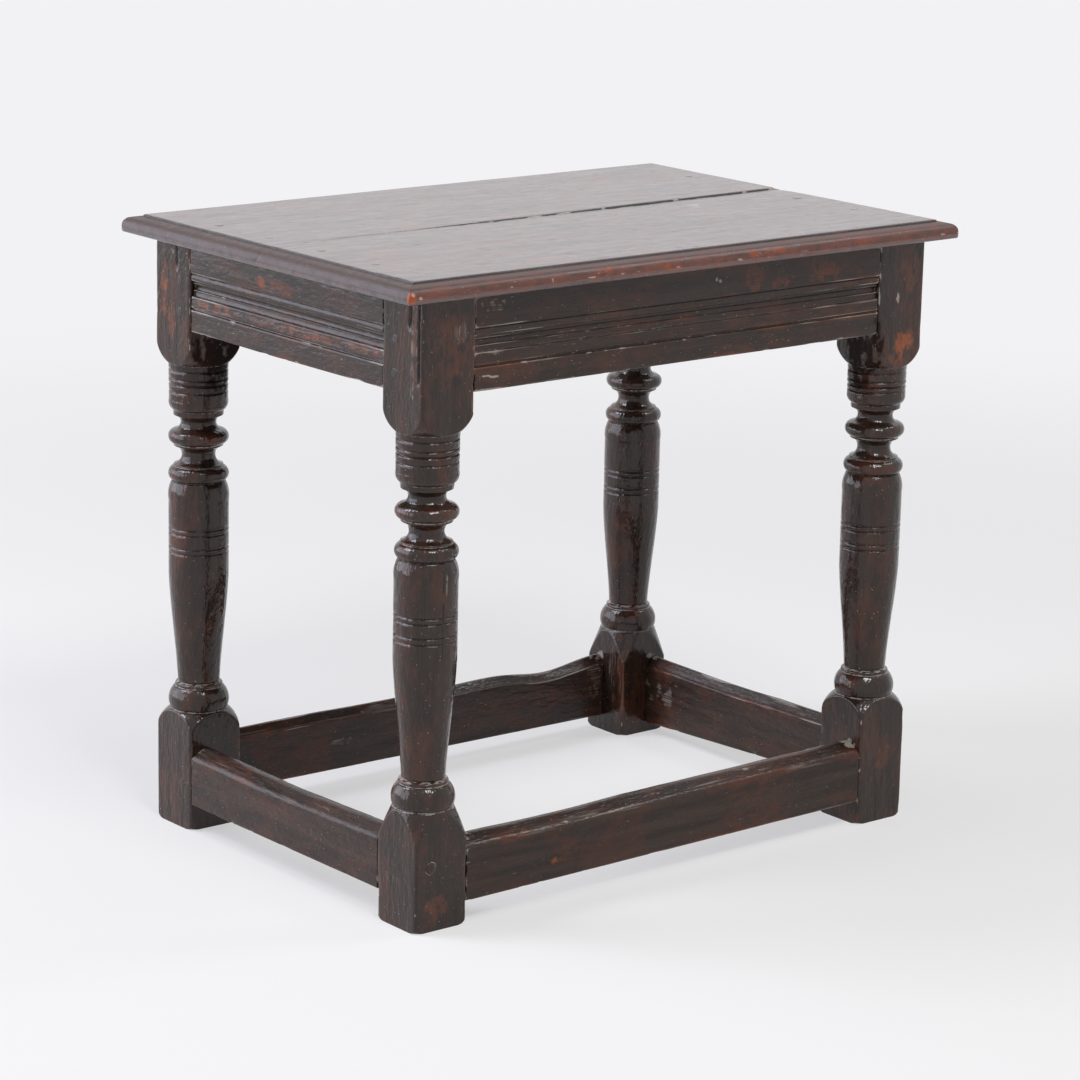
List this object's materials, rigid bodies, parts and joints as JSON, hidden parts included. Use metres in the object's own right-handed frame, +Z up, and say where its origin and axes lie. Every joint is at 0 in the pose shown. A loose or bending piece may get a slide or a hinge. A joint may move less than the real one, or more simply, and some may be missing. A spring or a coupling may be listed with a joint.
{
  "type": "joint stool",
  "caption": "Low joined oak stool with turned legs, square blocks, run-moulded rails, plain low stretchers and a boarded top with a moulded edge, held by pegged tenons.",
  "frame": {"origin": "on the floor, under the middle of the stool", "axes": "+X along the long side, +Y from the front long side to the back one, +Z up"},
  "size_m": [0.635, 0.438, 0.5753],
  "materials": {
    "frame_oak": "dark stained oak, waxed and handled, rubbed reddish brown on the edges",
    "top_oak": "dark stained oak boards, scuffed and waxed to a soft sheen",
    "peg_oak": "riven oak pegs and plug, darkened with wax and dirt"
  },
  "bodies": {
    "root": {"leg_front_left": "frame_oak", "leg_front_right": "frame_oak", "leg_back_right": "frame_oak", "leg_back_left": "frame_oak", "rail_front": "frame_oak", "rail_right": "frame_oak", "rail_back": "frame_oak", "rail_left": "frame_oak", "stretcher_front": "frame_oak", "stretcher_right": "frame_oak", "stretcher_back": "frame_oak", "stretcher_left": "frame_oak", "top_board_front": "top_oak", "top_board_back": "top_oak", "rail_pegs_front_left": "peg_oak", "rail_pegs_front_right": "peg_oak", "rail_pegs_back_right": "peg_oak", "rail_pegs_back_left": "peg_oak", "stretcher_pegs_front_left": "peg_oak", "stretcher_pegs_front_right": "peg_oak", "stretcher_pegs_back_right": "peg_oak", "stretcher_pegs_back_left": "peg_oak", "top_pegs_front": "peg_oak", "top_pegs_back": "peg_oak", "repair_plug": "peg_oak"}
  },
  "joints": []
}
